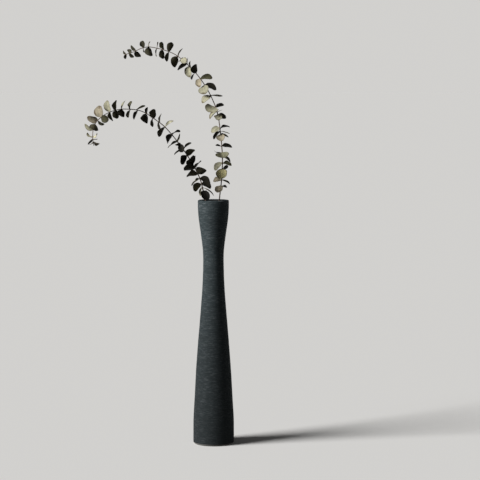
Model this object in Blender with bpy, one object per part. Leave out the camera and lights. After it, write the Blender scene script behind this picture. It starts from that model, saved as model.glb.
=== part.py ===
"""Dried eucalyptus arrangement: two arching branches of paired leaves in a tall waisted stoneware vase.

Metres, +Z up. The origin is the centre of the flat underside that the vase stands on.
"""

import math
from collections import namedtuple

import bmesh
import bpy
from mathutils import Matrix, Vector

# --- Vase ------------------------------------------------------------------------------------------
VASE_HEIGHT = 0.600
VASE_WALL = 0.0045
VASE_FLOOR = 0.012
VASE_STEPS = 32
FOOT_ROUND = 0.0050
LIP_ROUND = VASE_WALL / 2
INNER_CORNER = 0.008
# Radius of the outside at heights up the vase: a slow taper, a waist at three quarters, a flared mouth
VASE_SIDE = (
    (0.006, 0.0500),
    (0.060, 0.0497),
    (0.120, 0.0463),
    (0.200, 0.0418),
    (0.300, 0.0338),
    (0.380, 0.0276),
    (0.440, 0.0252),
    (0.485, 0.0265),
    (0.550, 0.0354),
    (0.580, 0.0378),
    (0.597, 0.0379),
)
SIDE_STEPS = 2

# --- Branches --------------------------------------------------------------------------------------
RIM_LEVEL = 0.605
BRANCH_STEPS = 2
BRANCH_SIDES_RESOLUTION = 2
BRANCH_BUTT_RADIUS = 0.0024
BRANCH_TIP_RADIUS = 0.0008

Branch = namedtuple("Branch", "name route")

# Each route is a list of points (x, y, z) from the cut end on the vase's floor to the drooping tip
TALL_BRANCH = Branch("tall", (
    (-0.030, -0.012, 0.0128),
    (-0.018, 0.001, 0.200),
    (-0.003, 0.015, 0.420),
    (0.003, 0.018, 0.480),
    (0.015, 0.021, 0.605),
    (0.019, 0.022, 0.640),
    (0.022, 0.024, 0.700),
    (0.017, 0.027, 0.764),
    (0.009, 0.030, 0.814),
    (-0.009, 0.034, 0.858),
    (-0.033, 0.038, 0.896),
    (-0.060, 0.042, 0.926),
    (-0.098, 0.046, 0.956),
    (-0.148, 0.050, 0.971),
    (-0.173, 0.052, 0.970),
    (-0.194, 0.053, 0.961),
    (-0.218, 0.054, 0.953),
))
LOW_BRANCH = Branch("low", (
    (0.024, 0.012, 0.0128),
    (0.020, 0.000, 0.200),
    (0.014, -0.011, 0.420),
    (0.007, -0.014, 0.500),
    (-0.020, -0.017, 0.605),
    (-0.035, -0.019, 0.660),
    (-0.069, -0.023, 0.719),
    (-0.110, -0.028, 0.772),
    (-0.140, -0.032, 0.797),
    (-0.173, -0.036, 0.817),
    (-0.212, -0.041, 0.822),
    (-0.239, -0.045, 0.818),
    (-0.261, -0.047, 0.808),
    (-0.278, -0.049, 0.794),
    (-0.287, -0.052, 0.777),
    (-0.289, -0.054, 0.753),
    (-0.286, -0.055, 0.734),
))

# --- Leaves ----------------------------------------------------------------------------------------
LEAF_THICKNESS = 0.0006
COLLAR_GAP = 0.0007
COLLAR_WIDTH = 0.0016
# Corners of a blade's margin from one side of its base round the tip to the other: the heading from the
# branch's axis where its row starts on the collar, then the shares of the blade's length and half width
BLADE_CORNERS = (
    (-60, 0.36, -1.0),
    (-28, 0.80, -0.86),
    (0, 1.0, 0.0),
    (28, 0.80, 0.86),
    (60, 0.36, 1.0),
)
ROW_REACHES = (0.5, 1.0)

# One blade: length from the branch's axis and width in millimetres, the angle between its midrib and
# the branch's direction of growth, then how far it swings round the branch, rolls about its midrib,
# curls along its length and cups across its width, all in degrees
Blade = namedtuple("Blade", "length width lean swing roll curl cup", defaults=(0, 0, 10, 20))
# A pair: its distance up the branch from the rim's level in millimetres, the turn of its first blade
# round the branch, in degrees from the arch's outer side, and the blades, which lie opposite
Pair = namedtuple("Pair", "along turn first second")

TALL_PAIRS = (
    Pair(27, 250, Blade(21, 19, 140), Blade(16, 13, 88, swing=-50, roll=-20)),
    Pair(43, 350, Blade(23, 12, 106, roll=10, cup=12), Blade(20, 18, 98, swing=10, roll=-35)),
    Pair(68, 268, Blade(28, 25, 141), Blade(19, 17, 62, swing=-50, roll=-44)),
    Pair(84, 345, Blade(23, 17, 95, roll=28, cup=30), Blade(26, 17, 132, swing=15, roll=-45)),
    Pair(99, 350, Blade(23, 14, 118, roll=15), Blade(18, 14, 66, swing=45, roll=-40)),
    Pair(109, 292, Blade(20, 25, 126, roll=8), Blade(21, 12, 94, swing=63, roll=10, curl=-25, cup=10)),
    Pair(126, 350, Blade(26, 18, 91, roll=-28, cup=12), Blade(15, 10, 72, swing=5, roll=15)),
    Pair(153, 265, Blade(20, 18, 143), Blade(22, 15, 100, swing=-60, roll=34)),
    Pair(161, 345, Blade(23, 12, 102, roll=2, cup=8), Blade(25, 14, 126, roll=20)),
    Pair(170, 10, Blade(25, 17, 64, roll=-15, curl=25), Blade(23, 18, 101, swing=5, roll=-50)),
    Pair(202, 275, Blade(19, 19, 134), Blade(23, 16, 114, swing=-70, roll=-35)),
    Pair(210, 350, Blade(13, 9, 70, roll=5, cup=8), Blade(25, 15, 118, swing=12, roll=-22, cup=36)),
    Pair(223, 5, Blade(21, 13, 86, roll=-40), Blade(28, 29, 104, swing=52, roll=-50)),
    Pair(253, 15, Blade(29, 22, 119, curl=0, cup=4), Blade(27, 18, 97, swing=-5, roll=-48, cup=12)),
    Pair(281, 355, Blade(30, 18, 132, roll=-50), Blade(26, 27, 132, swing=58, roll=-15, cup=12)),
    Pair(301, 350, Blade(29, 21, 116, roll=34, cup=25), Blade(21, 18, 132, swing=5, roll=-62)),
    Pair(321, 298, Blade(24, 22, 36), Blade(21, 12, 100, swing=35)),
    Pair(342, 15, Blade(15, 12, 35, swing=10), Blade(27, 20, 134, swing=-10, roll=-50)),
    Pair(352, 195, Blade(26, 15, 64, roll=30), Blade(15, 12, 45)),
    Pair(366, 275, Blade(18, 16, 138), Blade(18, 14, 60, swing=40)),
    Pair(380, 8, Blade(23, 16, 76, roll=12), Blade(29, 20, 96, swing=10, roll=60)),
    Pair(405, 345, Blade(26, 14, 87, roll=-60), Blade(24, 13, 84, roll=35)),
    Pair(421, 25, Blade(21, 17, 60, swing=10, roll=-45), Blade(24, 17, 100, swing=-10, roll=50)),
    Pair(435, 35, Blade(17, 13, 78), Blade(21, 13, 92, swing=-15)),
    Pair(456, 25, Blade(15, 11, 90, roll=10), Blade(24, 18, 101, swing=-10, roll=60)),
    Pair(470, 330, Blade(18, 14, 100, roll=60), Blade(13, 10, 90)),
    Pair(490, 10, Blade(18, 9, 60, roll=45), Blade(19, 16, 96, roll=48)),
    Pair(506, 300, Blade(14, 13, 125, roll=20), Blade(15, 9, 118, swing=50, roll=50)),
    Pair(516, 20, Blade(12, 9, 65, roll=25), Blade(12, 9, 55, roll=30)),
)
LOW_PAIRS = (
    Pair(18, 276, Blade(27, 20, 146), Blade(18, 16, 120)),
    Pair(25, 0, Blade(33, 12, 130, swing=-5), Blade(21, 12, 152, roll=-30)),
    Pair(36, 345, Blade(26, 21, 119, roll=-60), Blade(25, 22, 110, swing=25, roll=48)),
    Pair(49, 330, Blade(28, 20, 119, swing=15, roll=-60), Blade(29, 14, 104, roll=-14, cup=36)),
    Pair(63, 342, Blade(24, 24, 74, swing=-5, roll=-58), Blade(28, 23, 61, swing=35, roll=32, cup=26)),
    Pair(79, 345, Blade(26, 24, 60, swing=-15), Blade(28, 27, 60, swing=28, roll=32)),
    Pair(91, 282, Blade(26, 26, 40), Blade(24, 15, 36, swing=-55)),
    Pair(114, 345, Blade(23, 20, 64, roll=-50), Blade(27, 18, 110, swing=35, roll=62)),
    Pair(132, 20, Blade(26, 18, 80, roll=-22), Blade(25, 12, 72, swing=-10, roll=20)),
    Pair(145, 262, Blade(23, 15, 136), Blade(15, 12, 50, swing=48)),
    Pair(156, 30, Blade(22, 14, 75, curl=-20), Blade(29, 18, 76, roll=10)),
    Pair(176, 35, Blade(23, 20, 92, swing=-5, curl=20), Blade(26, 23, 92, roll=50)),
    Pair(202, 345, Blade(26, 17, 92, roll=5), Blade(27, 21, 98, roll=28)),
    Pair(220, 20, Blade(22, 14, 58), Blade(22, 11, 120, swing=30, roll=10)),
    Pair(237, 345, Blade(24, 19, 42, roll=-48), Blade(22, 15, 118, swing=-10, roll=10)),
    Pair(257, 205, Blade(25, 22, 102, roll=60), Blade(17, 11, 62, roll=30)),
    Pair(281, 15, Blade(24, 11, 137, swing=10, cup=10), Blade(23, 13, 72, swing=-20, roll=35)),
    Pair(299, 335, Blade(21, 17, 92, roll=8, cup=38), Blade(20, 18, 72, swing=40, roll=-20)),
    Pair(318, 15, Blade(24, 14, 112, roll=10), Blade(21, 19, 76, swing=12, roll=62)),
    Pair(333, 335, Blade(26, 20, 92, roll=-40), Blade(20, 19, 76, swing=20, roll=60)),
    Pair(348, 350, Blade(28, 19, 90, roll=42), Blade(23, 17, 72, swing=25, roll=28)),
    Pair(372, 0, Blade(28, 26, 108, roll=50), Blade(20, 18, 130, swing=35, roll=-50)),
    Pair(384, 0, Blade(26, 17, 50, roll=58), Blade(19, 16, 100, swing=20, roll=-20)),
    Pair(397, 262, Blade(22, 23, 38), Blade(18, 16, 75)),
    Pair(409, 0, Blade(25, 15, 112, roll=32), Blade(14, 12, 92, swing=-5)),
    Pair(425, 20, Blade(17, 13, 108, cup=30, curl=20),
         Blade(16, 12, 108, swing=10, roll=35, cup=30, curl=20)),
    Pair(432, 25, Blade(19, 12, 62, curl=-15), Blade(12, 9, 76)),
    Pair(440, 335, Blade(11, 9, 60), Blade(15, 14, 52, swing=20, roll=-30, cup=30)),
)


# --- Shared helpers ----------------------------------------------------------------------------------
def clear_scene():
    for obj in list(bpy.data.objects):
        bpy.data.objects.remove(obj, do_unlink=True)


def add_object(name, data):
    obj = bpy.data.objects.new(name, data)
    bpy.context.scene.collection.objects.link(obj)
    return obj


def make_material(name, colour, roughness):
    material = bpy.data.materials.new(name)
    material.use_nodes = True
    shader = material.node_tree.nodes["Principled BSDF"]
    shader.inputs["Base Color"].default_value = (*colour, 1.0)
    shader.inputs["Roughness"].default_value = roughness
    shader.inputs["Metallic"].default_value = 0.0
    return material


def smooth_curve(knots, steps):
    """Points on the Catmull-Rom curve through the knots, with that many steps between neighbours."""
    knots = [Vector(knot) for knot in knots]
    padded = [2 * knots[0] - knots[1]] + knots + [2 * knots[-1] - knots[-2]]
    points = []
    for before, start, end, after in zip(padded, padded[1:], padded[2:], padded[3:]):
        for step in range(steps):
            t = step / steps
            point = 2 * start + (end - before) * t
            point += (2 * before - 5 * start + 4 * end - after) * t**2
            point += (3 * start - before - 3 * end + after) * t**3
            points.append(point / 2)
    return points + [knots[-1]]


def quarter_arc(centre, radius, start, steps=3):
    """Points on a quarter circle in the profile plane, turning clockwise from the start angle."""
    points = []
    for step in range(steps + 1):
        angle = math.radians(start - 90 * step / steps)
        points.append((centre[0] + radius * math.cos(angle), centre[1] + radius * math.sin(angle)))
    return points


def smooth_shade(mesh, sharp_angle=40):
    mesh.shade_smooth()
    mesh.set_sharp_from_angle(angle=math.radians(sharp_angle))


# --- Vase ------------------------------------------------------------------------------------------
def vase_profile():
    """(radius, height) from the floor's centre inside, up the wall, over the lip, down and under."""
    side = [(radius, height) for height, radius in smooth_curve(VASE_SIDE, SIDE_STEPS)]
    inside = [(radius - VASE_WALL, height) for height, radius in VASE_SIDE[1:-1]]
    corner_radius = inside[0][0] - INNER_CORNER
    corner = quarter_arc((corner_radius, VASE_FLOOR + INNER_CORNER), INNER_CORNER, 0)
    lip_centre = (side[-1][0] - LIP_ROUND, VASE_HEIGHT - LIP_ROUND)
    lip = quarter_arc(lip_centre, LIP_ROUND, 180) + quarter_arc(lip_centre, LIP_ROUND, 90)[1:]
    foot = quarter_arc((side[0][0] - FOOT_ROUND, FOOT_ROUND), FOOT_ROUND, 0)
    return [(0.0, VASE_FLOOR)] + corner[::-1] + inside + lip + side[-2::-1] + foot[1:] + [(0.0, 0.0)]


def make_vase():
    profile = vase_profile()
    mesh = bpy.data.meshes.new("vase")
    edges = [(i, i + 1) for i in range(len(profile) - 1)]
    mesh.from_pydata([(radius, 0.0, height) for radius, height in profile], edges, [])
    vase = add_object("vase", mesh)
    turned = vase.modifiers.new("turned", "SCREW")
    turned.steps = VASE_STEPS
    turned.render_steps = VASE_STEPS
    turned.use_merge_vertices = True
    turned.merge_threshold = 0.0001
    turned.use_smooth_shade = True
    mesh.materials.append(make_material("charcoal_stoneware", (0.045, 0.062, 0.066), 0.85))
    return vase


# --- Branches --------------------------------------------------------------------------------------
def branch_points(branch):
    return smooth_curve(branch.route, BRANCH_STEPS)


def distances_along(points):
    """Distance of each point along the branch, counted from where it passes the rim's level."""
    distances = [0.0]
    for start, end in zip(points, points[1:]):
        distances.append(distances[-1] + (end - start).length)
    at_rim = next(d for d, point in zip(distances, points) if point.z > RIM_LEVEL - 1e-6)
    return [d - at_rim for d in distances]


def branch_radius(distance, distances):
    share = (distance - distances[0]) / (distances[-1] - distances[0])
    return BRANCH_BUTT_RADIUS + (BRANCH_TIP_RADIUS - BRANCH_BUTT_RADIUS) * share**0.8


def place_on_branch(points, distances, distance):
    """Point on the branch at that distance, with the direction of growth there."""
    index = max(i for i, d in enumerate(distances[:-1]) if d <= distance)
    share = (distance - distances[index]) / (distances[index + 1] - distances[index])
    place = points[index].lerp(points[index + 1], share)
    growth = (points[index + 1] - points[index]).normalized()
    return place, growth


def make_branch(branch, material):
    points = branch_points(branch)
    distances = distances_along(points)
    curve = bpy.data.curves.new("branch_" + branch.name, "CURVE")
    curve.dimensions = "3D"
    curve.bevel_depth = BRANCH_BUTT_RADIUS
    curve.bevel_resolution = BRANCH_SIDES_RESOLUTION
    curve.use_fill_caps = True
    spline = curve.splines.new("POLY")
    spline.points.add(len(points) - 1)
    for spline_point, point, distance in zip(spline.points, points, distances):
        spline_point.co = (*point, 1.0)
        spline_point.radius = branch_radius(distance, distances) / BRANCH_BUTT_RADIUS
    spline.use_smooth = True
    curve.materials.append(material)
    return add_object("branch_" + branch.name, curve)


# --- Leaves ----------------------------------------------------------------------------------------
def blade_point(blade, side, corner, reach, collar):
    """Point of a blade a share of the way from the collar's rim to a corner of the blade's margin.

    Side is 0 for a pair's first blade and 180 for the second. Z is the branch's direction of growth.
    """
    heading, length_share, half_width_share = corner
    length = blade.length / 1000
    half_width = blade.width / 2000
    base = Vector((math.cos(math.radians(heading)), math.sin(math.radians(heading)))) * collar
    out, across = base.lerp(Vector((length * length_share, half_width * half_width_share)), reach)
    hinge = Matrix.Rotation(math.radians(side + blade.swing / 2), 3, "Z") @ Vector((collar, 0, 0))
    turn = Matrix.Rotation(math.radians(side + blade.swing), 3, "Z")
    lean = Matrix.Rotation(math.radians(blade.lean - 90), 3, "Y")
    roll = Matrix.Rotation(math.radians(blade.roll), 3, "X")
    curl = math.radians(blade.curl) * (out - collar) / length
    cup = math.radians(blade.cup) * abs(across) / half_width
    in_blade = Vector((
        (out - collar) * math.cos(curl),
        across * math.cos(cup),
        abs(across) * math.sin(cup) - (out - collar) * math.sin(curl),
    ))
    return hinge + turn @ lean @ roll @ in_blade


def add_strip(sheet, inner, outer, middle):
    """Faces between two rows of corners, their diagonals mirrored about the middle of the row."""
    for i in range(len(inner) - 1):
        corners = [inner[i], outer[i], outer[i + 1], inner[i + 1]]
        if i >= middle:
            corners = corners[1:] + corners[:1]
        sheet.faces.new(corners[:3])
        sheet.faces.new((corners[0], corners[2], corners[3]))


def leaf_pair_mesh(pair, hole):
    """A sheet: a flat collar with a hole for the branch, and a blade that grows from each side of it."""
    collar = hole + COLLAR_WIDTH
    headings = [corner[0] for corner in BLADE_CORNERS] + [90]
    headings += [heading + 180 for heading in headings]
    sheet = bmesh.new()
    rings = []
    for radius in (hole, collar):
        round_ring = [(math.cos(math.radians(h)), math.sin(math.radians(h))) for h in headings]
        rings.append([sheet.verts.new((radius * x, radius * y, 0)) for x, y in round_ring])
    add_strip(sheet, rings[0] + rings[0][:1], rings[1] + rings[1][:1], len(headings) / 2)
    for blade, side in ((pair.first, 0), (pair.second, 180)):
        start = side // 180 * len(headings) // 2
        row = rings[1][start:start + len(BLADE_CORNERS)]
        for reach in ROW_REACHES:
            points = [blade_point(blade, side, corner, reach, collar) for corner in BLADE_CORNERS]
            next_row = [sheet.verts.new(point) for point in points]
            add_strip(sheet, row, next_row, len(BLADE_CORNERS) // 2)
            row = next_row
    mesh = bpy.data.meshes.new("leaf_pair")
    sheet.to_mesh(mesh)
    sheet.free()
    smooth_shade(mesh)
    return mesh


def make_leaf_pairs(branch, pairs, material):
    points = branch_points(branch)
    distances = distances_along(points)
    for number, pair in enumerate(pairs, start=1):
        place, growth = place_on_branch(points, distances, pair.along / 1000)
        hole = branch_radius(pair.along / 1000, distances) + COLLAR_GAP
        mesh = leaf_pair_mesh(pair, hole)
        mesh.materials.append(material)
        leaves = add_object(f"leaves_{branch.name}_{number:02d}", mesh)
        thickened = leaves.modifiers.new("thickened", "SOLIDIFY")
        thickened.thickness = LEAF_THICKNESS
        thickened.offset = 0.0
        outer_side = Vector((0, 1, 0)).cross(growth).normalized()
        frame = Matrix((outer_side, growth.cross(outer_side), growth)).transposed().to_4x4()
        turned = Matrix.Rotation(math.radians(pair.turn), 4, "Z")
        leaves.matrix_world = Matrix.Translation(place) @ frame @ turned


def main():
    clear_scene()
    bark = make_material("branch_bark", (0.16, 0.11, 0.075), 0.8)
    leaf = make_material("dried_leaf", (0.24, 0.25, 0.15), 0.75)
    make_vase()
    for branch, pairs in ((TALL_BRANCH, TALL_PAIRS), (LOW_BRANCH, LOW_PAIRS)):
        make_branch(branch, bark)
        make_leaf_pairs(branch, pairs, leaf)


if __name__ == "__main__":
    main()
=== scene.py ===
"""Dried eucalyptus arrangement in a tall waisted stoneware vase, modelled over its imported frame.

Metres, +Z up. The origin is the centre of the vase's flat underside.
"""

import math
from collections import namedtuple

import bmesh
import bpy
from bpy.props import FloatProperty, FloatVectorProperty, IntProperty, PointerProperty
from mathutils import Matrix, Vector, noise


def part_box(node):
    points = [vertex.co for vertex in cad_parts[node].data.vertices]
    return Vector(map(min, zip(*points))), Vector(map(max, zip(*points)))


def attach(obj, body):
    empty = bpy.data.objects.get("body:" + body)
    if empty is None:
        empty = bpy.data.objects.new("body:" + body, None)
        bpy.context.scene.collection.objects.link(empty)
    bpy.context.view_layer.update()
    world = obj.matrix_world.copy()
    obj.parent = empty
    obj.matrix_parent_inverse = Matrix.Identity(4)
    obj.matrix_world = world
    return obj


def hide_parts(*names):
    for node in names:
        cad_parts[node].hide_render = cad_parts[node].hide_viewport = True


bl_info = {
    "name": "Dried eucalyptus arrangement",
    "version": (1, 0, 0),
    "blender": (4, 5, 0),
    "location": "3D View > Sidebar > Arrangement",
    "description": "Makes a stoneware vase with two arching branches of dried eucalyptus",
    "category": "Object",
}

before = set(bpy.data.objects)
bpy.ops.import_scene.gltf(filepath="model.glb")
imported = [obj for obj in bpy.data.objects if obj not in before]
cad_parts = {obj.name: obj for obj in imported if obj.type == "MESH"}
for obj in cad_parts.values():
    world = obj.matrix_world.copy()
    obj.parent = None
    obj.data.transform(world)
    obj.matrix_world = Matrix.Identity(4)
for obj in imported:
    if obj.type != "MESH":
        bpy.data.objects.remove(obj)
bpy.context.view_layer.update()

# --- Branches --------------------------------------------------------------------------------------
# Each route is a list of points from the cut end on the vase's floor to the drooping tip
ROUTES = {
    "tall": (
        (-0.030, -0.012, 0.0128), (-0.018, 0.001, 0.200), (-0.003, 0.015, 0.420),
        (0.003, 0.018, 0.480), (0.015, 0.021, 0.605), (0.019, 0.022, 0.640),
        (0.022, 0.024, 0.700), (0.017, 0.027, 0.764), (0.009, 0.030, 0.814),
        (-0.009, 0.034, 0.858), (-0.033, 0.038, 0.896), (-0.060, 0.042, 0.926),
        (-0.098, 0.046, 0.956), (-0.148, 0.050, 0.971), (-0.173, 0.052, 0.970),
        (-0.194, 0.053, 0.961), (-0.218, 0.054, 0.953),
    ),
    "low": (
        (0.024, 0.012, 0.0128), (0.020, 0.000, 0.200), (0.014, -0.011, 0.420),
        (0.007, -0.014, 0.500), (-0.020, -0.017, 0.605), (-0.035, -0.019, 0.660),
        (-0.069, -0.023, 0.719), (-0.110, -0.028, 0.772), (-0.140, -0.032, 0.797),
        (-0.173, -0.036, 0.817), (-0.212, -0.041, 0.822), (-0.239, -0.045, 0.818),
        (-0.261, -0.047, 0.808), (-0.278, -0.049, 0.794), (-0.287, -0.052, 0.777),
        (-0.289, -0.054, 0.753), (-0.286, -0.055, 0.734),
    ),
}
# Distances along a branch count from its knot at this height, just over the vase's rim
RIM_LEVEL = 0.605
BUTT_RADIUS = 0.0024
TIP_RADIUS = 0.0008
TAPER_POWER = 0.8
# Steps from knot to knot: few where the leaves of the frame sit, many for the smooth visible stem
FRAME_STEPS = 2
TUBE_STEPS = 16
TUBE_SIDES = 10

# --- Leaves ----------------------------------------------------------------------------------------
# One blade: its tone, or the tones of its upper face and its underside, then its length from the
# branch's axis and its width, in millimetres, the angle between its midrib and the direction of growth,
# and how far it swings round the branch, rolls about its midrib, curls along its length and cups across
# its width, all in degrees
Blade = namedtuple("Blade", "tone length width lean swing roll curl cup", defaults=(0, 0, 10, 20))
# A pair: its distance up the branch from the rim's level in millimetres, the turn of its first blade
# round the branch, in degrees from the arch's outer side, and the blades, which lie opposite
Pair = namedtuple("Pair", "along turn first second")

# The tones in these tables are partly the dried leaves' own colours and partly painted light and shade:
# pale tones are given to faces that the light catches, black and dark tones to leaves in shade, and a
# split tone gives one face of a blade a lit colour and the other a shaded one.
PAIRS = {
    "tall": (
        Pair(27, 250, Blade("tan", 21, 19, 140), Blade("black", 16, 13, 88, swing=-50, roll=-20)),
        Pair(43, 350, Blade("olive", 23, 12, 106, roll=10, cup=12),
             Blade("tan", 20, 18, 98, swing=10, roll=-35)),
        Pair(68, 268, Blade("straw", 28, 25, 141), Blade("black", 19, 17, 62, swing=-50, roll=-44)),
        Pair(84, 345, Blade("olive", 23, 17, 95, roll=28, cup=30),
             Blade("cream", 26, 17, 132, swing=15, roll=-45)),
        Pair(99, 350, Blade("olive", 23, 14, 118, roll=15),
             Blade("sage", 18, 14, 66, swing=45, roll=-40)),
        Pair(109, 292, Blade("sage", 20, 25, 126, roll=8),
             Blade("black", 21, 12, 94, swing=63, roll=10, curl=-25, cup=10)),
        Pair(126, 350, Blade("black", 26, 18, 91, roll=-28, cup=12),
             Blade("black", 15, 10, 72, swing=5, roll=15)),
        Pair(153, 265, Blade("tan", 20, 18, 143), Blade("sage", 22, 15, 100, swing=-60, roll=34)),
        Pair(161, 345, Blade("olive", 23, 12, 102, roll=2, cup=8), Blade("black", 25, 14, 126, roll=20)),
        Pair(170, 10, Blade("black", 25, 17, 64, roll=-15, curl=25),
             Blade("cream", 23, 18, 101, swing=5, roll=-50)),
        Pair(202, 275, Blade("cream", 19, 19, 134), Blade("black", 23, 16, 114, swing=-70, roll=-35)),
        Pair(210, 350, Blade("dark", 13, 9, 70, roll=5, cup=8),
             Blade("cream/black", 25, 15, 118, swing=12, roll=-22, cup=36)),
        Pair(223, 5, Blade("black", 21, 13, 86, roll=-40),
             Blade("cream", 28, 29, 104, swing=52, roll=-50)),
        Pair(253, 15, Blade("dark", 29, 22, 119, curl=0, cup=4),
             Blade("cream", 27, 18, 97, swing=-5, roll=-48, cup=12)),
        Pair(281, 355, Blade("black", 30, 18, 132, roll=-50),
             Blade("cream", 26, 27, 132, swing=58, roll=-15, cup=12)),
        Pair(301, 350, Blade("olive", 29, 21, 116, roll=34, cup=25),
             Blade("tan", 21, 18, 132, swing=5, roll=-62)),
        Pair(321, 298, Blade("black", 24, 22, 36, swing=12), Blade("black", 21, 12, 100, swing=35)),
        Pair(342, 15, Blade("dark", 15, 12, 35, swing=10),
             Blade("cream", 27, 20, 134, swing=-10, roll=-50)),
        Pair(352, 195, Blade("black", 26, 15, 64, roll=30), Blade("dark", 15, 12, 45)),
        Pair(366, 275, Blade("cream", 18, 16, 138), Blade("dark", 18, 14, 60, swing=24)),
        Pair(380, 8, Blade("dark", 23, 16, 76, roll=12), Blade("dark", 29, 20, 96, swing=10, roll=60)),
        Pair(405, 345, Blade("dark", 26, 14, 87, roll=-60), Blade("dark", 24, 13, 90, roll=35)),
        Pair(421, 25, Blade("olive", 21, 17, 60, swing=10, roll=-45),
             Blade("dark", 24, 17, 100, swing=-10, roll=50)),
        Pair(435, 35, Blade("tan", 17, 13, 78), Blade("dark", 21, 13, 92, swing=-15)),
        Pair(456, 25, Blade("tan", 15, 11, 90, roll=10), Blade("dark", 24, 18, 101, swing=-10, roll=60)),
        Pair(470, 330, Blade("dark", 18, 14, 100, roll=60), Blade("dark", 13, 10, 90)),
        Pair(490, 10, Blade("dark", 18, 9, 60, roll=45), Blade("black", 19, 16, 96, roll=48)),
        Pair(506, 300, Blade("dark", 14, 13, 125, roll=20), Blade("dark", 15, 9, 118, swing=50, roll=50)),
        Pair(516, 20, Blade("dark", 12, 9, 65, roll=25), Blade("dark", 12, 9, 55, roll=30)),
    ),
    "low": (
        Pair(18, 276, Blade("soot", 27, 20, 146, swing=6), Blade("black", 18, 16, 120)),
        Pair(25, 0, Blade("dark/cream", 33, 12, 130, swing=-5),
             Blade("cream", 21, 12, 152, swing=-5, roll=-30)),
        Pair(36, 345, Blade("black", 26, 21, 119, roll=-60),
             Blade("olive", 25, 22, 110, swing=25, roll=48)),
        Pair(49, 330, Blade("black", 28, 20, 119, swing=15, roll=-60),
             Blade("cream", 29, 14, 104, roll=-14, cup=36)),
        Pair(63, 342, Blade("dark", 24, 24, 74, swing=-5, roll=-58),
             Blade("olive/dark", 28, 23, 61, swing=35, roll=32, cup=26)),
        Pair(79, 345, Blade("black", 26, 24, 60, swing=-15),
             Blade("black", 28, 27, 60, swing=28, roll=32)),
        Pair(91, 282, Blade("black", 26, 26, 40), Blade("dark", 24, 15, 36, swing=-55)),
        Pair(114, 345, Blade("olive", 23, 20, 64, roll=-50),
             Blade("black", 27, 18, 110, swing=35, roll=62)),
        Pair(132, 20, Blade("dark", 26, 18, 80, roll=-22), Blade("dark", 25, 12, 72, swing=-10, roll=20)),
        Pair(145, 262, Blade("black", 23, 15, 136), Blade("dark", 15, 12, 50, swing=48)),
        Pair(156, 30, Blade("olive", 22, 14, 75, curl=-20), Blade("dark", 29, 18, 76, roll=10)),
        Pair(176, 35, Blade("black", 23, 20, 92, swing=-5, curl=20), Blade("black", 26, 23, 92, roll=50)),
        Pair(202, 345, Blade("cream", 26, 17, 92, roll=5), Blade("dark", 27, 21, 98, roll=28)),
        Pair(220, 20, Blade("dark", 22, 14, 58), Blade("black", 22, 11, 120, swing=30, roll=10)),
        Pair(237, 345, Blade("dark", 24, 19, 42, roll=-48),
             Blade("dark", 22, 15, 118, swing=-10, roll=10)),
        Pair(257, 205, Blade("black", 25, 22, 102, roll=60), Blade("black", 17, 11, 62, roll=30)),
        Pair(281, 15, Blade("sage", 24, 11, 137, swing=10, cup=10),
             Blade("black", 23, 13, 72, swing=-20, roll=35)),
        Pair(299, 335, Blade("olive/dark", 21, 17, 92, roll=8, cup=38),
             Blade("dark", 20, 18, 72, swing=40, roll=-20)),
        Pair(318, 15, Blade("sage", 24, 14, 112, roll=10), Blade("black", 21, 19, 76, swing=12, roll=62)),
        Pair(333, 335, Blade("dark", 26, 20, 92, roll=-40),
             Blade("olive/dark", 20, 19, 76, swing=20, roll=60)),
        Pair(348, 350, Blade("cream", 28, 19, 90, roll=42),
             Blade("tan/dark", 23, 17, 76, swing=25, roll=28)),
        Pair(372, 0, Blade("tan", 28, 26, 108, roll=50), Blade("olive", 20, 18, 125, swing=35, roll=-50)),
        Pair(384, 0, Blade("tan", 26, 17, 50, roll=58), Blade("dark", 19, 16, 100, swing=20, roll=-20)),
        Pair(397, 262, Blade("dark", 22, 21, 38, swing=5), Blade("dark", 18, 16, 75)),
        Pair(409, 0, Blade("cream", 25, 15, 112, roll=32), Blade("dark", 14, 12, 92, swing=-5)),
        Pair(425, 20, Blade("cream", 17, 13, 108, cup=30, curl=20),
             Blade("cream", 16, 12, 108, swing=10, roll=35, cup=30, curl=20)),
        Pair(432, 25, Blade("dark", 19, 12, 62, curl=-15), Blade("dark", 12, 9, 76)),
        Pair(440, 335, Blade("dark", 11, 9, 60), Blade("tan", 15, 14, 52, swing=20, roll=-30, cup=30)),
    ),
}
# How far the collar of a frame node, and the beginning of a visible blade, stand out from the bark
COLLAR_REACH = 0.0023
BASE_GAP = 0.0004
# A leaf's rounded outline bulges past the corners of its plain solid
LENGTH_BULGE = 1.04
WIDTH_BULGE = 1.16
# Rows of a blade from its base to its tip: share of the blade's length, share of its half width
LEAF_ROWS = (
    (0.00, 0.20), (0.04, 0.42), (0.10, 0.64), (0.19, 0.84), (0.31, 0.96), (0.45, 1.00),
    (0.59, 0.96), (0.72, 0.85), (0.83, 0.68), (0.92, 0.45), (0.97, 0.25), (1.00, 0.07),
)
LEAF_COLUMNS = 6
STALK_SHARE = 0.075
# Thickness as a share of the stalk's: the blade, and its midrib, which thins towards the tip
BLADE_SHARE = 0.28
RIB_SHARE = 0.75
RIB_TAPER = 0.45
RUFFLE_SCALE = 0.011
# The angle of a Bend modifier for each degree of curl and of cup
CURL_GAIN = 2.5
CUP_GAIN = 3.5
# Spreads neighbouring leaves over the noise that makes each one different
SEED_SPREAD = 97
LARGEST_SKEW = 0.5

# --- Vase ------------------------------------------------------------------------------------------
# Spacing of the rings of vertices up the outer wall and down the inner wall
OUTER_SPACING = 0.0013
INNER_SPACING = 0.006
# Radius of the small discs that close the underside and the floor inside
HUB_RADIUS = 0.004
# The comb lines begin at this height, and end this far below the lip
COMB_START = 0.006
COMB_MARGIN = 0.003
# The wall strays from true only above this height, so that the foot stays flat and round
STRAY_LEVEL = 0.02
# A vertex further than this behind the outer wall, and above the underside, is inside the vase
INSIDE_DEPTH = 0.0028
INSIDE_LEVEL = 0.006


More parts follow.
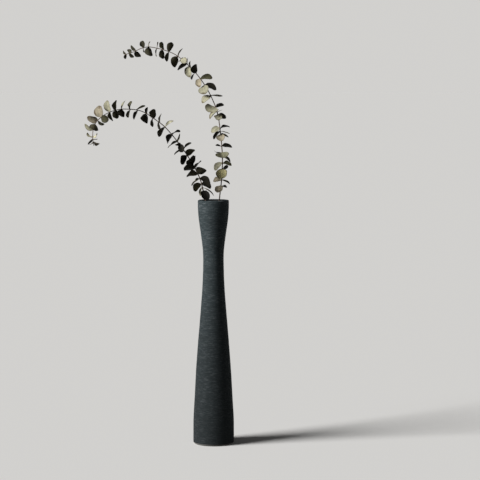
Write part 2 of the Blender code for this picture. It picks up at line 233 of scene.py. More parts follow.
# --- Settings --------------------------------------------------------------------------------------
def colour_property(name, description, default):
    return FloatVectorProperty(
        name=name, description=description, default=default, subtype="COLOR", size=3, min=0, max=1
    )


class VaseSettings(bpy.types.PropertyGroup):
    sides: IntProperty(name="Sides", description="Steps of one turn", default=112, min=24)
    ring_pitch: FloatProperty(
        name="Ring pitch", description="Mean height from one comb line to the next",
        default=0.0034, min=0.0015, unit="LENGTH",
    )
    ring_depth: FloatProperty(
        name="Ring depth", description="Depth of the comb lines", default=0.00013, min=0, unit="LENGTH"
    )
    wobble: FloatProperty(
        name="Wobble", description="How far the wall strays from a true circle",
        default=0.0006, min=0, unit="LENGTH",
    )
    clay: colour_property("Clay", "Colour of the stained clay", (0.034, 0.048, 0.052))
    comb: colour_property("Comb lines", "Colour of the worn tops of the lines", (0.190, 0.212, 0.221))
    foot: colour_property("Foot", "Colour of the bare clay round the foot", (0.30, 0.29, 0.27))
    # Painted shade: the near-black colour laid on the wall inside the vase, where shade falls.
    hollow: colour_property("Hollow", "Colour of the blackened wall inside", (0.011, 0.010, 0.009))


class BranchSettings(bpy.types.PropertyGroup):
    node_swell: FloatProperty(
        name="Node swell", description="Thickening where leaves grow, as a share of the radius",
        default=0.45, min=0,
    )
    node_width: FloatProperty(
        name="Node width", description="Length of a thickened place", default=0.0018, min=0.0005,
        unit="LENGTH",
    )
    bark: colour_property("Bark", "Colour of the bark", (0.115, 0.075, 0.058))
    bark_pale: colour_property(
        "Pale bark", "Colour of the streaks and of the worn nodes", (0.27, 0.20, 0.145)
    )


class LeafSettings(bpy.types.PropertyGroup):
    thickness: FloatProperty(
        name="Stalk thickness", description="Thickness of the stalk; the blade has a share of it",
        default=0.0013, min=0.0003, unit="LENGTH",
    )
    ruffle: FloatProperty(
        name="Ruffle", description="How far the blade strays from its smooth shape",
        default=0.0030, min=0, unit="LENGTH",
    )
    uneven: FloatProperty(
        name="Uneven outline", description="How far a margin strays, as a share of the half width",
        default=0.30, min=0,
    )
    variety: FloatProperty(
        name="Variety", description="How far one leaf's tone strays from its fellows'", default=0.35, min=0
    )
    # Leaf tones, partly the dried leaves' own colours and partly painted light and shade: the pale tones
    # serve faces that the light catches, and dark and black stand in for leaves in shade.
    cream: colour_property("Cream", "Palest leaves", (0.46, 0.44, 0.31))
    sage: colour_property("Sage", "Pale grey-green leaves", (0.32, 0.31, 0.20))
    straw: colour_property("Straw", "Yellowed leaves", (0.66, 0.60, 0.31))
    olive: colour_property("Olive", "Green-brown leaves", (0.110, 0.105, 0.060))
    tan: colour_property("Tan", "Brown-grey leaves", (0.40, 0.35, 0.25))
    dark: colour_property("Dark", "Dark leaves", (0.074, 0.069, 0.044))
    black: colour_property("Black", "Darkest leaves", (0.019, 0.0175, 0.012))
    # Painted deep shade: a near-black tone laid on a leaf that stands deep in shade.
    soot: colour_property("Soot", "Blackened leaves", (0.006, 0.0055, 0.004))
    margin: colour_property("Margin", "Stain of the dried edges", (0.26, 0.21, 0.17))


class StageSettings(bpy.types.PropertyGroup):
    floor_size: FloatProperty(
        name="Floor size", description="Side of the floor", default=200.0, min=2, unit="LENGTH"
    )
    floor: colour_property("Floor", "Colour of the floor", (0.80, 0.79, 0.77))
    key_strength: FloatProperty(
        name="Key light", description="Strength of the key light", default=4.4, min=0
    )
    key_softness: FloatProperty(
        name="Key softness", description="Width of the key light", default=math.radians(25),
        subtype="ANGLE",
    )
    key_azimuth: FloatProperty(
        name="Key azimuth", description="Turn of the key light to the left of the camera",
        default=math.radians(67), subtype="ANGLE",
    )
    key_height: FloatProperty(
        name="Key height", description="Height of the key light over the floor",
        default=math.radians(32), subtype="ANGLE",
    )
    fill_strength: FloatProperty(
        name="Fill light", description="Strength of the even light from all round", default=0.06, min=0
    )
    camera_place: FloatVectorProperty(
        name="Camera", description="Place of the camera", default=(0.065, -4.504, 0.900),
        subtype="TRANSLATION", unit="LENGTH",
    )
    camera_pitch: FloatProperty(
        name="Pitch", description="How far the camera looks down", default=math.radians(5.05),
        subtype="ANGLE",
    )
    lens: FloatProperty(
        name="Lens", description="Focal length in millimetres", default=138.75, min=10
    )


class ArrangementSettings(bpy.types.PropertyGroup):
    vase: PointerProperty(type=VaseSettings)
    branches: PointerProperty(type=BranchSettings)
    leaves: PointerProperty(type=LeafSettings)
    stage: PointerProperty(type=StageSettings)


# --- Surfaces --------------------------------------------------------------------------------------
class Term:
    """An output socket in an expression: arithmetic on terms and numbers adds Math nodes."""

    def __init__(self, surface, socket):
        self.surface = surface
        self.socket = socket

    def maths(self, operation, *values):
        return self.surface.node("Math", {"operation": operation}, dict(enumerate(values)))

    def __add__(self, other):
        return self.maths("ADD", self, other)

    def __sub__(self, other):
        return self.maths("SUBTRACT", self, other)

    def __rsub__(self, other):
        return self.maths("SUBTRACT", other, self)

    def __mul__(self, other):
        return self.maths("MULTIPLY", self, other)

    __radd__ = __add__
    __rmul__ = __mul__


class Surface:
    """A material with one shader, whose node method adds any other node and returns an output."""

    def __init__(self, name, specular=0.3):
        self.material = bpy.data.materials.new(name)
        self.material.use_nodes = True
        self.tree = self.material.node_tree
        self.shader = self.tree.nodes["Principled BSDF"]
        self.shader.inputs["Specular IOR Level"].default_value = specular

    def feed(self, socket, value):
        if isinstance(value, Term):
            self.tree.links.new(value.socket, socket)
        else:
            socket.default_value = (*value, 1.0) if socket.type == "RGBA" else value

    def node(self, kind, settings=None, inputs=None, output=0):
        node = self.tree.nodes.new("ShaderNode" + kind)
        for name, value in (settings or {}).items():
            if name == "stops":
                self.set_stops(node.color_ramp, value)
            else:
                setattr(node, name, value)
        for key, value in (inputs or {}).items():
            self.feed(node.inputs[key], value)
        return Term(self, node.outputs[output])

    @staticmethod
    def set_stops(ramp, stops):
        for index, (place, value) in enumerate(stops):
            stop = ramp.elements[index] if index < 2 else ramp.elements.new(place)
            stop.position = place
            stop.color = (value, value, value, 1.0)

    def ramp(self, factor, *stops):
        return self.node("ValToRGB", {"stops": stops}, {"Fac": factor})

    def mix(self, factor, under, over, blend="MIX"):
        return self.node(
            "Mix", {"data_type": "RGBA", "blend_type": blend}, {0: factor, 6: under, 7: over}, output=2
        )

    def place(self, scale=(1, 1, 1), source="Object"):
        coordinates = self.node("TexCoord", output=source)
        return self.node("Mapping", {}, {"Vector": coordinates, "Scale": scale})

    def noise(self, vector, scale, detail=2.0, roughness=0.5):
        return self.node("TexNoise", {}, {
            "Vector": vector, "Scale": scale, "Detail": detail, "Roughness": roughness,
        })

    def finish(self, colour, roughness, height=None, depth=0.0, strength=1.0):
        self.feed(self.shader.inputs["Base Color"], colour)
        self.feed(self.shader.inputs["Roughness"], roughness)
        if height is not None:
            bump = self.node("Bump", {}, {"Strength": strength, "Distance": depth, "Height": height})
            self.feed(self.shader.inputs["Normal"], bump)
        return self.material


def stoneware_surface(settings):
    """Matte stained clay with broken comb lines round it and fine grit.

    It has painted shade that darkens it low down and painted shade that makes it near black inside, and it
    is bare round the foot.
    """
    clay = Surface("combed_stoneware")
    lines = clay.noise(clay.place((52, 52, 430)), 1.0, detail=3.0, roughness=0.65)
    strokes = clay.noise(clay.place((84, 84, 560)), 1.0, detail=2.0, roughness=0.6)
    patches = clay.noise(clay.place((34, 34, 70)), 1.0, detail=4.0, roughness=0.6)
    grit = clay.noise(clay.place(), 1500.0, detail=2.0)
    worn = clay.ramp(strokes * 0.62 + grit * 0.38, (0.50, 0.0), (0.68, 1.0))
    worn = worn * clay.ramp(patches, (0.38, 0.45), (0.62, 1.0))
    shade = clay.ramp(lines * 0.7 + patches * 0.3, (0.30, 0.72), (0.70, 1.22))
    body = clay.mix(1.0, settings.clay, shade, blend="MULTIPLY")
    body = clay.mix(worn, body, settings.comb)
    height = clay.node("SeparateXYZ", {}, {0: clay.place()}, output="Z")
    # Painted shade: the clay is darkened towards the foot to stand for the light falling off low down.
    painted_foot_shade = clay.ramp(height, (0.0, 0.34), (0.27, 0.54), (0.50, 1.0))
    body = clay.mix(1.0, body, painted_foot_shade, blend="MULTIPLY")
    foot = clay.ramp(height * 100 + grit * 0.06, (0.36, 1.0), (0.46, 0.0))
    colour = clay.mix(foot, body, settings.foot)
    # Painted shade: the wall inside the vase is laid near black, where shade falls in the hollow.
    hollow = clay.node("Attribute", {"attribute_name": "hollow"}, output="Fac")
    colour = clay.mix(hollow, colour, settings.hollow)
    relief = lines * 0.6 + strokes * 0.5 + grit * 0.35
    return clay.finish(colour, 0.80 + 0.12 * grit, relief, depth=0.0009, strength=0.9)


def bark_surface(settings):
    """Smooth brown bark with lengthwise streaks, pale lenticels and worn nodes."""
    bark = Surface("dried_bark")
    streaks = bark.noise(bark.place((9, 260, 1), "UV"), 1.0, detail=3.0, roughness=0.6)
    blotches = bark.noise(bark.place(), 90.0, detail=3.0)
    flecks = bark.ramp(bark.noise(bark.place(), 900.0, detail=1.0), (0.62, 0.0), (0.72, 1.0))
    node = bark.node("Attribute", {"attribute_name": "node"}, output="Fac")
    pale = bark.ramp(streaks * 0.5 + blotches * 0.5, (0.42, 0.0), (0.66, 0.75))
    colour = bark.mix(pale, settings.bark, settings.bark_pale)
    colour = bark.mix(flecks * 0.5, colour, settings.bark_pale)
    colour = bark.mix(node * 0.55, colour, settings.bark_pale)
    relief = streaks * 0.6 + blotches * 0.4
    return bark.finish(colour, 0.7, relief, depth=0.0003, strength=0.6)


def leaf_surface(name, settings, bloom, tone_name):
    """A dried leaf: its tone, which is partly its own colour and partly painted light and shade, blotches,
    a pale midrib, side veins and a browned margin.

    Bloom is how much grey wax dulls the face.
    """
    leaf = Surface(name, specular=0.12)
    tone = leaf.node("Attribute", {"attribute_name": tone_name}, output="Color")
    plan = leaf.node("UVMap", {"uv_map": "leaf_plan"})
    along = leaf.node("SeparateXYZ", {}, {0: plan}, output="X")
    across = leaf.node("SeparateXYZ", {}, {0: plan}, output="Y") - 0.5
    aside = leaf.node("Math", {"operation": "ABSOLUTE"}, {0: across}) * 2
    blotches = leaf.noise(leaf.place(), 150.0, detail=4.0, roughness=0.6)
    patches = leaf.noise(leaf.place(), 55.0, detail=2.0)
    grain = leaf.noise(leaf.place(), 1200.0, detail=2.0)
    shade = leaf.ramp(blotches * 0.6 + patches * 0.4, (0.32, 0.62), (0.68, 1.28))
    colour = leaf.mix(1.0, tone, shade, blend="MULTIPLY")
    waxy = leaf.mix(1.0, colour, (1.16, 1.14, 1.12), blend="MULTIPLY")
    colour = leaf.mix(bloom, colour, waxy)
    ribs = leaf.node("Math", {"operation": "PINGPONG"}, {0: along * 9 - aside * 3.2, 1: 0.5})
    side_veins = leaf.ramp(ribs * 2 + grain * 0.2, (0.06, 1.0), (0.26, 0.0)) * (1 - aside)
    midrib = leaf.ramp(aside + along * 0.03, (0.03, 1.0), (0.11, 0.0))
    veins = leaf.node("Math", {"operation": "MAXIMUM"}, {0: midrib, 1: side_veins * 0.45})
    vein_tone = leaf.mix(1.0, colour, (1.45, 1.40, 1.30), blend="MULTIPLY")
    colour = leaf.mix(veins * 0.6, colour, vein_tone)
    edge = leaf.node("Math", {"operation": "MAXIMUM"}, {0: aside, 1: along})
    edge = leaf.ramp(edge + (blotches - 0.5) * 0.6 + (patches - 0.5) * 0.9, (0.80, 0.0), (1.0, 1.0))
    dried = leaf.mix(1.0, colour, settings.margin, blend="MULTIPLY")
    colour = leaf.mix(edge * 0.85, colour, dried)
    relief = blotches * 0.35 + grain * 0.12 + veins * 0.55
    return leaf.finish(colour, 0.58 + 0.2 * patches, relief, depth=0.0005, strength=0.75)


# --- Shared helpers ----------------------------------------------------------------------------------
def deselect_all():
    if bpy.context.object and bpy.context.object.mode != "OBJECT":
        bpy.ops.object.mode_set(mode="OBJECT")
    bpy.ops.object.select_all(action="DESELECT")


def activate(obj):
    deselect_all()
    obj.select_set(True)
    bpy.context.view_layer.objects.active = obj


def select_vertices(obj, test):
    """In edit mode, selects just the vertices whose places pass the test."""
    mesh = bmesh.from_edit_mesh(obj.data)
    for vertex in mesh.verts:
        vertex.select_set(test(vertex.co))
    mesh.select_flush_mode()
    bmesh.update_edit_mesh(obj.data)


def apply_modifiers(obj):
    activate(obj)
    for modifier in list(obj.modifiers):
        bpy.ops.object.modifier_apply(modifier=modifier.name)


def finish_piece(obj, name, slot, *nodes):
    """Names a piece, puts its place in its mesh, and lets it stand for its frame nodes."""
    activate(obj)
    bpy.ops.object.transform_apply(location=True, rotation=True, scale=True)
    obj.name = name
    obj.data.name = name
    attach(obj, "root")
    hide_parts(*nodes)
    return obj


def smooth_curve(knots, steps):
    """Points on the Catmull-Rom curve through the knots, with that many steps between neighbours."""
    knots = [Vector(knot) for knot in knots]
    padded = [2 * knots[0] - knots[1]] + knots + [2 * knots[-1] - knots[-2]]
    points = []
    for before, start, end, after in zip(padded, padded[1:], padded[2:], padded[3:]):
        for step in range(steps):
            t = step / steps
            point = 2 * start + (end - before) * t
            point += (2 * before - 5 * start + 4 * end - after) * t**2
            point += (3 * start - before - 3 * end + after) * t**3
            points.append(point / 2)
    return points + [knots[-1]]


def lengths_along(points):
    """Distance of each point from the first, measured along the chain."""
    lengths = [0.0]
    for start, end in zip(points, points[1:]):
        lengths.append(lengths[-1] + (end - start).length)
    return lengths


# --- Vase ------------------------------------------------------------------------------------------
def meridian(node):
    """The corners of a turned node's section, from the middle of its underside round to its floor."""
    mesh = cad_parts[node].data
    places = [Vector((round(v.co.x, 5), round(v.co.y, 5), round(v.co.z, 5))) for v in mesh.vertices]
    neighbours = {}
    for edge in mesh.edges:
        ends = [places[index] for index in edge.vertices]
        if all(abs(end.y) < 1e-4 and end.x > -1e-4 for end in ends) and ends[0] != ends[1]:
            keys = [(end.x, end.z) for end in ends]
            neighbours.setdefault(keys[0], set()).add(keys[1])
            neighbours.setdefault(keys[1], set()).add(keys[0])
    section = [min(neighbours, key=lambda key: (key[1], key[0]))]
    while True:
        onward = [key for key in neighbours[section[-1]] if key not in section]
        if not onward:
            return section
        section.append(onward[0])


def resample(points, spacing):
    """Points along a chain at an even spacing, its two ends included."""
    lengths = lengths_along(points)
    count = max(2, round(lengths[-1] / spacing))
    chain = []
    index = 0
    for step in range(count + 1):
        distance = lengths[-1] * step / count
        while index < len(points) - 2 and lengths[index + 1] < distance:
            index += 1
        share = (distance - lengths[index]) / max(lengths[index + 1] - lengths[index], 1e-9)
        chain.append(points[index].lerp(points[index + 1], min(share, 1.0)))
    return chain


def comb_relief(height, settings):
    """Depth of the comb lines at a height: uneven ridges, none on the foot's edge or the lip."""
    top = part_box("vase")[1].z
    rise = (height - COMB_START) / 0.01
    fall = (top - COMB_MARGIN - height) / 0.006
    fade = min(1.0, max(0.0, rise), max(0.0, fall))
    drift = noise.noise(Vector((3.1, 0.0, height * 60))) * 2.2
    ridge = math.sin(2 * math.pi * height / settings.ring_pitch + drift)
    broken = 0.55 + 0.45 * noise.noise(Vector((7.7, 1.0, height * 210)))
    return settings.ring_depth * fade * ridge * broken


def make_vase(settings):
    section = [Vector((radius, 0.0, height)) for radius, height in meridian("vase")]
    levels = (0.0, section[-1].z)
    lip = max(range(len(section)), key=lambda index: section[index].z)
    outside = resample(smooth_curve(section[1:lip + 1], 6), OUTER_SPACING)
    inside = resample(smooth_curve(section[lip:-1], 4), INNER_SPACING)[1:]
    for point in outside:
        point.x += comb_relief(point.z, settings)
    underside, floor = (Vector((HUB_RADIUS, 0.0, level)) for level in levels)
    chain = [underside] + outside + inside + [floor]
    deselect_all()
    bpy.ops.mesh.primitive_plane_add(size=0.01, location=(0, 0, 0))
    vase = bpy.context.object
    bpy.ops.object.mode_set(mode="EDIT")
    bpy.ops.mesh.merge(type="CENTER")
    bpy.ops.transform.translate(value=chain[0])
    for start, end in zip(chain, chain[1:]):
        bpy.ops.mesh.extrude_region_move(TRANSFORM_OT_translate={"value": end - start})
    bpy.ops.mesh.select_all(action="SELECT")
    bpy.ops.mesh.spin(
        steps=settings.sides, angle=2 * math.pi, center=(0, 0, 0), axis=(0, 0, 1), use_auto_merge=True
    )
    bpy.ops.mesh.select_all(action="SELECT")
    bpy.ops.mesh.remove_doubles(threshold=0.00002)
    for level in levels:
        hub = Vector((0.0, 0.0, level))
        select_vertices(vase, lambda place: (place - hub).length < HUB_RADIUS + 0.001)
        bpy.ops.mesh.edge_face_add()
    bpy.ops.mesh.select_all(action="SELECT")
    bpy.ops.mesh.normals_make_consistent(inside=False)
    bpy.ops.object.mode_set(mode="OBJECT")
    add_wobble(vase, settings)
    apply_modifiers(vase)
    bpy.ops.object.shade_smooth()
    mark_hollow(vase, outside)
    vase.data.materials.append(stoneware_surface(settings))
    return finish_piece(vase, "stoneware_vase", "stoneware", "vase")


def add_wobble(vase, settings):
    """Lets the wall stray a little from a true circle, but not the foot."""
    clouds = bpy.data.textures.new("wobble", "CLOUDS")
    clouds.noise_scale = 0.07
    wall = vase.vertex_groups.new(name="wall")
    wall.add([v.index for v in vase.data.vertices if v.co.z > STRAY_LEVEL], 1.0, "REPLACE")
    wobble = vase.modifiers.new("wobble", "DISPLACE")
    wobble.texture = clouds
    wobble.texture_coords = "LOCAL"
    wobble.strength = settings.wobble
    wobble.mid_level = 0.5
    wobble.vertex_group = wall.name


def mark_hollow(vase, outside):
    """An attribute that is 1 on the inside of the vase, where the shade is painted, and 0 on its outside.
    """
    hollow = vase.data.attributes.new("hollow", "FLOAT", "POINT")
    for vertex in vase.data.vertices:
        nearest = min(outside, key=lambda point: abs(point.z - vertex.co.z))
        depth = nearest.x - math.hypot(vertex.co.x, vertex.co.y)
        within = depth > INSIDE_DEPTH and vertex.co.z > INSIDE_LEVEL
        hollow.data[vertex.index].value = 1.0 if within else 0.0


# --- Branches --------------------------------------------------------------------------------------
def distances_along(points):
    """Distance of each point along the branch, counted from where it passes the rim's level."""
    lengths = lengths_along(points)
    at_rim = next(length for length, point in zip(lengths, points) if point.z > RIM_LEVEL - 1e-6)
    return [length - at_rim for length in lengths]


def branch_radius(distance, distances):
    share = (distance - distances[0]) / (distances[-1] - distances[0])
    return BUTT_RADIUS + (TIP_RADIUS - BUTT_RADIUS) * share**TAPER_POWER


def node_share(distance, pairs, width):
    """How near a distance is to a node where leaves grow: 1 at the node, 0 away from it."""
    nearest = min(abs(distance - pair.along / 1000) for pair in pairs)
    return math.exp(-((nearest / width) ** 2))


def make_branch(name, settings, surface):
    points = smooth_curve(ROUTES[name], TUBE_STEPS)
    distances = distances_along(points)
    deselect_all()
    bpy.ops.curve.primitive_nurbs_path_add(location=(0, 0, 0))
    branch = bpy.context.object
    curve = branch.data
    curve.splines.clear()
    curve.bevel_depth = 1.0
    curve.bevel_resolution = (TUBE_SIDES - 4) // 2
    curve.use_fill_caps = True
    spline = curve.splines.new("POLY")
    spline.points.add(len(points) - 1)
    nearness = []
    for spline_point, point, distance in zip(spline.points, points, distances):
        nearness.append(node_share(distance, PAIRS[name], settings.node_width))
        spline_point.co = (*point, 1.0)
        spline_point.radius = branch_radius(distance, distances) * (1 + settings.node_swell * nearness[-1])
    activate(branch)
    bpy.ops.object.convert(target="MESH")
    branch = bpy.context.object
    bpy.ops.object.mode_set(mode="EDIT")
    bpy.ops.mesh.select_all(action="SELECT")
    bpy.ops.mesh.remove_doubles(threshold=0.00001)
    bpy.ops.mesh.normals_make_consistent(inside=False)
    bpy.ops.object.mode_set(mode="OBJECT")
    bpy.ops.object.shade_smooth()
    near = branch.data.attributes.new("node", "FLOAT", "POINT")
    for vertex in branch.data.vertices:
        index = min(range(len(points)), key=lambda i: (points[i] - vertex.co).length_squared)
        near.data[vertex.index].value = nearness[index]
    branch.data.materials.append(surface)
    return finish_piece(branch, "stem_" + name, "bark", "branch_" + name)


# --- Leaves ----------------------------------------------------------------------------------------
def make_master_leaf(settings, surfaces):
    """A flat blade one long and two wide with its stalk behind the origin, upright in the XZ plane."""
    deselect_all()
    bpy.ops.mesh.primitive_grid_add(
        x_subdivisions=1, y_subdivisions=LEAF_COLUMNS, size=2, location=(0, 0, 0),
        rotation=(math.pi / 2, 0, 0),
    )
    leaf = bpy.context.object
    leaf.name = "leaf_pattern"
    bpy.ops.object.transform_apply(location=False, rotation=True, scale=False)
    bpy.ops.object.mode_set(mode="EDIT")
    select_vertices(leaf, lambda place: place.x < 0)
    bpy.ops.transform.resize(value=(1, 1, STALK_SHARE), center_override=(0, 0, 0))
    select_vertices(leaf, lambda place: place.x > 0)
    bpy.ops.transform.translate(value=(-1, 0, 0))
    bpy.ops.transform.resize(value=(1, 1, LEAF_ROWS[0][1]), center_override=(0, 0, 0))
    for (start, narrow), (end, wide) in zip(LEAF_ROWS, LEAF_ROWS[1:]):
        bpy.ops.mesh.extrude_region_move(TRANSFORM_OT_translate={"value": (end - start, 0, 0)})
        bpy.ops.transform.resize(value=(1, 1, wide / narrow), center_override=(end, 0, 0))
    bpy.ops.mesh.select_all(action="SELECT")
    bpy.ops.mesh.normals_make_consistent(inside=False)
    bpy.ops.object.mode_set(mode="OBJECT")
    draw_plan(leaf)
    stout = leaf.vertex_groups.new(name="stout")
    for vertex in leaf.data.vertices:
        x, z = vertex.co.x, vertex.co.z
        blade = RIB_SHARE - RIB_TAPER * x if abs(z) < 1e-4 else BLADE_SHARE
        stout.add([vertex.index], 1.0 if x < 0.01 else blade, "REPLACE")
    for surface in surfaces:
        leaf.data.materials.append(surface)
    ruffle = bpy.data.textures.new("ruffle", "CLOUDS")
    ruffle.noise_scale = RUFFLE_SCALE
    add_leaf_modifiers(leaf, settings, stout, ruffle)
    return leaf


def draw_plan(leaf):
    """A UV map of the flat leaf: U along the midrib from stalk to tip, V from margin to margin."""
    plan = leaf.data.uv_layers.new(name="leaf_plan")
    leaf.data.uv_layers.active = plan
    for loop in leaf.data.loops:
        place = leaf.data.vertices[loop.vertex_index].co
        half_width = max(abs(v.co.z) for v in leaf.data.vertices if abs(v.co.x - place.x) < 1e-4)
        plan.data[loop.index].uv = (place.x, 0.5 + 0.5 * place.z / half_width)


def add_leaf_modifiers(leaf, settings, stout, ruffle_texture):
    for name, axis in (("curled", "Z"), ("cupped", "X")):
        bent = leaf.modifiers.new(name, "SIMPLE_DEFORM")
        bent.deform_method = "BEND"
        bent.deform_axis = axis
    ruffled = leaf.modifiers.new("ruffled", "DISPLACE")
    ruffled.texture = ruffle_texture
    ruffled.texture_coords = "GLOBAL"
    ruffled.strength = settings.ruffle
    ruffled.mid_level = 0.5
    thickened = leaf.modifiers.new("thickened", "SOLIDIFY")
    thickened.thickness = settings.thickness
    thickened.offset = 0.0
    thickened.vertex_group = stout.name
    thickened.material_offset = 1
    smoothed = leaf.modifiers.new("smoothed", "SUBSURF")
    smoothed.levels = 1
    smoothed.render_levels = 1
    smoothed.uv_smooth = "NONE"


def make_blade(master, blade, side, collar, place, settings):
    """A copy of the master leaf, sized, bent and set on the branch at one side of its node."""
    leaf = master.copy()
    leaf.data = master.data.copy()
    bpy.context.scene.collection.objects.link(leaf)
    base = BASE_GAP - COLLAR_REACH
    reach = blade.length / 1000 * LENGTH_BULGE - collar - base
    half_width = blade.width / 2000 * WIDTH_BULGE
    own = place.translation * SEED_SPREAD + Vector((side, 0, 0))
    askew = LARGEST_SKEW * noise.noise(own)
    for vertex in leaf.data.vertices:
        along, across = vertex.co.x, vertex.co.z
        vertex.co.x = base + along * (reach if along > 0 else collar + base)
        if along > 0:
            stray = noise.noise(own + Vector((along * 2.3, math.copysign(4, across), 0)))
            across = across * (1 + settings.uneven * stray) + askew * along**2
        vertex.co.z = across * half_width
    shade = 1 + settings.variety * noise.noise(own * 1.7)
    # The tones are partly the leaf's own colour and partly painted light and shade.
    tones = blade.tone.split("/")
    for name, tone in (("tone_upper", tones[0]), ("tone_under", tones[-1])):
        colours = leaf.data.color_attributes.new(name, "FLOAT_COLOR", "POINT")
        for colour in colours.data:
            colour.color = (*[share * shade for share in getattr(settings, tone)], 1.0)
    hinge = Matrix.Rotation(math.radians(side + blade.swing / 2), 4, "Z") @ Vector((collar, 0, 0))
    turn = Matrix.Rotation(math.radians(side + blade.swing), 4, "Z")
    lean = Matrix.Rotation(math.radians(blade.lean - 90), 4, "Y")
    roll = Matrix.Rotation(math.radians(blade.roll), 4, "X")
    lay_flat = Matrix.Rotation(math.radians(-90), 4, "X")
    leaf.matrix_world = place @ Matrix.Translation(hinge) @ turn @ lean @ roll @ lay_flat
    leaf.modifiers["curled"].angle = math.radians(blade.curl) * CURL_GAIN
    leaf.modifiers["cupped"].angle = -math.radians(blade.cup) * CUP_GAIN
    apply_modifiers(leaf)
    return leaf


def pair_place(points, distances, pair):
    """Where a pair sits: its origin on the branch, X to the arch's outer side, Z along the growth."""
    distance = pair.along / 1000
    index = max(i for i, d in enumerate(distances[:-1]) if d <= distance)
    share = (distance - distances[index]) / (distances[index + 1] - distances[index])
    place = points[index].lerp(points[index + 1], share)
    growth = (points[index + 1] - points[index]).normalized()
    outer_side = Vector((0, 1, 0)).cross(growth).normalized()
    axes = Matrix((outer_side, growth.cross(outer_side), growth)).transposed().to_4x4()
    return Matrix.Translation(place) @ axes @ Matrix.Rotation(math.radians(pair.turn), 4, "Z")


def make_leaf_pairs(name, settings, master):
    points = smooth_curve(ROUTES[name], FRAME_STEPS)
    distances = distances_along(points)
    for number, pair in enumerate(PAIRS[name], start=1):
        place = pair_place(points, distances, pair)
        collar = branch_radius(pair.along / 1000, distances) + COLLAR_REACH
        blades = [
            make_blade(master, blade, side, collar, place, settings)
            for blade, side in ((pair.first, 0), (pair.second, 180))
        ]
        activate(blades[0])
        blades[1].select_set(True)
        bpy.ops.object.join()
        bpy.ops.object.shade_smooth()
        label = f"{name}_{number:02d}"
        finish_piece(blades[0], "leaf_pair_" + label, "dried_leaf", "leaves_" + label)


# --- Stage -----------------------------------------------------------------------------------------
def make_stage(settings):
    deselect_all()
    bpy.ops.mesh.primitive_plane_add(size=settings.floor_size, location=(0, 0, 0))
    floor = bpy.context.object
    floor.name = "floor"
    floor.visible_diffuse = False
    paper = Surface("floor_paper", specular=0.0)
    fibres = paper.noise(paper.place(), 300.0, detail=2.0)
    tint = paper.ramp(fibres, (0.3, 0.975), (0.7, 1.025))
    colour = paper.mix(1.0, settings.floor, tint, blend="MULTIPLY")
    floor.data.materials.append(paper.finish(colour, 0.9))
    key_on_floor = settings.key_strength * math.sin(settings.key_height) / math.pi
    backdrop = [share * (key_on_floor + settings.fill_strength) for share in settings.floor]

    world = bpy.data.worlds.new("studio")
    world.use_nodes = True
    tree = world.node_tree
    fill = tree.nodes["Background"]
    fill.inputs["Color"].default_value = (1.0, 1.0, 1.0, 1.0)
    fill.inputs["Strength"].default_value = settings.fill_strength
    seen = tree.nodes.new("ShaderNodeBackground")
    seen.inputs["Color"].default_value = (*backdrop, 1.0)
    rays = tree.nodes.new("ShaderNodeLightPath")
    choice = tree.nodes.new("ShaderNodeMixShader")
    tree.links.new(rays.outputs["Is Camera Ray"], choice.inputs[0])
    tree.links.new(fill.outputs[0], choice.inputs[1])
    tree.links.new(seen.outputs[0], choice.inputs[2])
    tree.links.new(choice.outputs[0], tree.nodes["World Output"].inputs["Surface"])
    bpy.context.scene.world = world

    bpy.ops.object.light_add(type="SUN", location=(-2, -2, 3))
    key = bpy.context.object
    key.name = "key_light"
    key.data.energy = settings.key_strength
    key.data.angle = settings.key_softness
    key.rotation_euler = (math.pi / 2 - settings.key_height, 0, -settings.key_azimuth)

    bpy.ops.object.camera_add(
        location=settings.camera_place, rotation=(math.pi / 2 - settings.camera_pitch, 0, 0)
    )
    camera = bpy.context.object
    camera.data.lens = settings.lens
    camera.data.clip_end = 200
    bpy.context.scene.camera = camera
    bpy.context.scene.view_settings.view_transform = "Standard"


# --- Operators -------------------------------------------------------------------------------------
class ARRANGEMENT_OT_vase(bpy.types.Operator):
    """Throw the stoneware vase over its frame node"""

    bl_idname = "arrangement.vase"
    bl_label = "Vase"

    def execute(self, context):
        make_vase(context.scene.arrangement.vase)
        return {"FINISHED"}


class ARRANGEMENT_OT_branches(bpy.types.Operator):
    """Grow the two bare branches along their routes"""

    bl_idname = "arrangement.branches"
    bl_label = "Branches"

    def execute(self, context):
        settings = context.scene.arrangement.branches
        surface = bark_surface(settings)
        for name in ROUTES:
            make_branch(name, settings, surface)
        return {"FINISHED"}


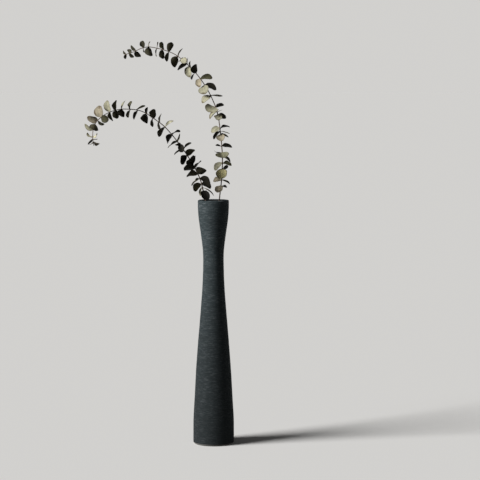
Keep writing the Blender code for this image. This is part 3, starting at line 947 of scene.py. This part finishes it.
class ARRANGEMENT_OT_leaves(bpy.types.Operator):
    """Set every pair of leaves on its node"""

    bl_idname = "arrangement.leaves"
    bl_label = "Leaves"

    def execute(self, context):
        settings = context.scene.arrangement.leaves
        upper = leaf_surface("leaf_upper_face", settings, 0.0, "tone_upper")
        under = leaf_surface("leaf_underside", settings, 1.0, "tone_under")
        master = make_master_leaf(settings, (upper, under))
        for name in PAIRS:
            make_leaf_pairs(name, settings, master)
        bpy.data.objects.remove(master)
        return {"FINISHED"}


class ARRANGEMENT_OT_stage(bpy.types.Operator):
    """Lay the floor and set the lights and the camera"""

    bl_idname = "arrangement.stage"
    bl_label = "Stage"

    def execute(self, context):
        make_stage(context.scene.arrangement.stage)
        return {"FINISHED"}


class ARRANGEMENT_PT_sidebar(bpy.types.Panel):
    bl_idname = "ARRANGEMENT_PT_sidebar"
    bl_label = "Dried eucalyptus arrangement"
    bl_space_type = "VIEW_3D"
    bl_region_type = "UI"
    bl_category = "Arrangement"

    def draw(self, context):
        for operator, group in (
            ("arrangement.vase", "vase"),
            ("arrangement.branches", "branches"),
            ("arrangement.leaves", "leaves"),
            ("arrangement.stage", "stage"),
        ):
            box = self.layout.box()
            box.operator(operator)
            settings = getattr(context.scene.arrangement, group)
            for name in settings.__annotations__:
                box.prop(settings, name)


CLASSES = (
    VaseSettings,
    BranchSettings,
    LeafSettings,
    StageSettings,
    ArrangementSettings,
    ARRANGEMENT_OT_vase,
    ARRANGEMENT_OT_branches,
    ARRANGEMENT_OT_leaves,
    ARRANGEMENT_OT_stage,
    ARRANGEMENT_PT_sidebar,
)


def register():
    for cls in CLASSES:
        bpy.utils.register_class(cls)
    bpy.types.Scene.arrangement = PointerProperty(type=ArrangementSettings)


def unregister():
    del bpy.types.Scene.arrangement
    for cls in reversed(CLASSES):
        bpy.utils.unregister_class(cls)


def main():
    register()
    bpy.ops.arrangement.vase()
    bpy.ops.arrangement.branches()
    bpy.ops.arrangement.leaves()
    bpy.ops.arrangement.stage()


if __name__ == "__main__":
    main()
